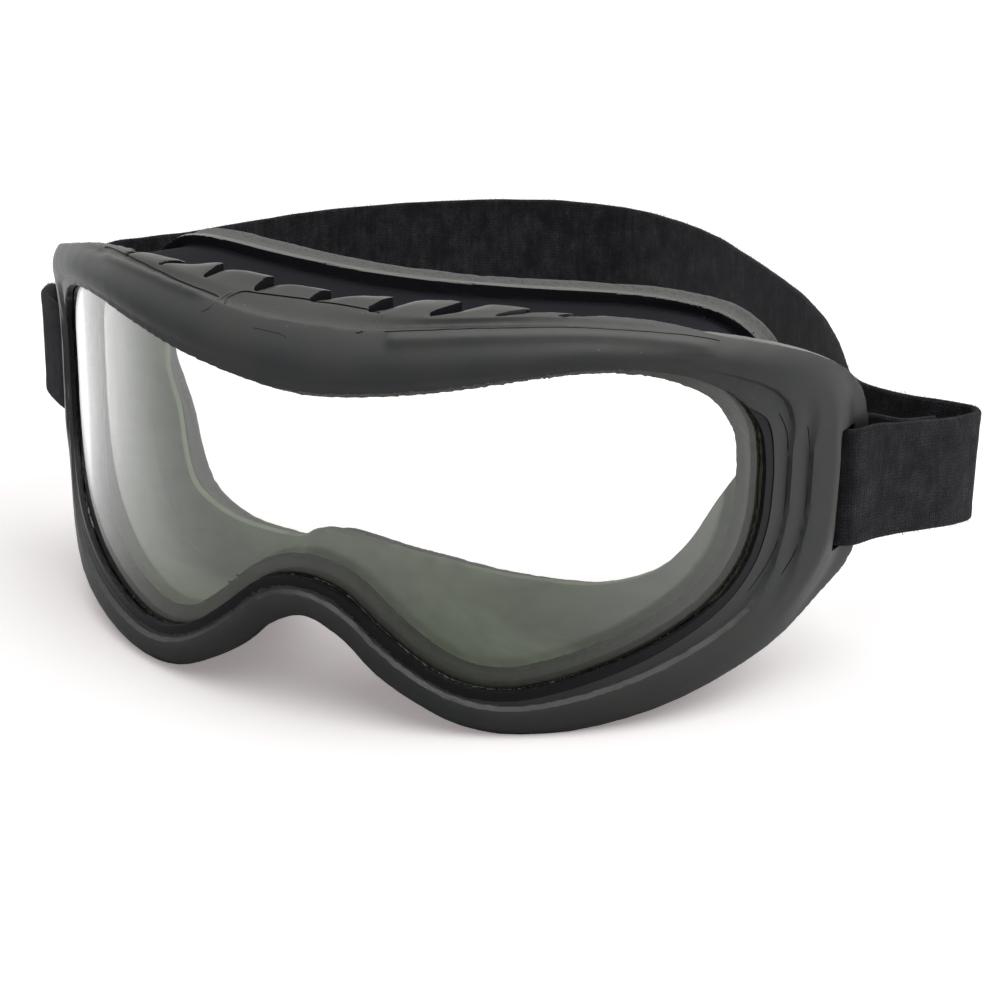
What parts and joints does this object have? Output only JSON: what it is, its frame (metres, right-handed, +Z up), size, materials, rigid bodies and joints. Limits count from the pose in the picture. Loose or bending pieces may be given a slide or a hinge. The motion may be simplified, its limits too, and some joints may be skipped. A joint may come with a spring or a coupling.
{
  "type": "welding goggles",
  "caption": "Wrap-around protective goggle with a clear double lens in a soft frame, louvred brow vent, foam face seal and an elastic head strap with a slider.",
  "frame": {"origin": "reference point of the face seal, midway between the wearer's eyes, 54 mm behind the front of the lens", "axes": "+X to the right as seen from the front, +Y from the lens back to the face, +Z up"},
  "size_m": [0.2252, 0.1834, 0.0853],
  "materials": {
    "frame_rubber": "satin charcoal moulding",
    "clear_lens": "clear and glossy",
    "gasket": "matt grey",
    "foam": "open-cell grey foam",
    "filter": "black open foam",
    "strap_fabric": "black knitted elastic",
    "thread": "black thread",
    "slider_plastic": "black moulding"
  },
  "bodies": {
    "goggle": {"frame": "frame_rubber", "outer_lens": "clear_lens", "lens_gasket": "gasket", "inner_lens": "clear_lens", "face_foam": "foam", "brow_filter": "filter"},
    "strap_band": {"strap": "strap_fabric", "loop_stitching": "thread"},
    "slider": {"strap_slider": "slider_plastic"}
  },
  "joints": [
    {"name": "strap_tilt", "type": "hinge", "parent": "goggle", "child": "strap_band", "pos_m": [0, 0.01277, 0.0008], "axis": [1, 0, 0], "range_deg": [-6, 6], "stiffness_Nm_per_rad": 0.5},
    {"name": "slider_adjust", "type": "slide", "parent": "strap_band", "child": "slider", "axis": [-0.2939, 0.9558, 0], "range_m": [-0.006, 0.006]}
  ]
}
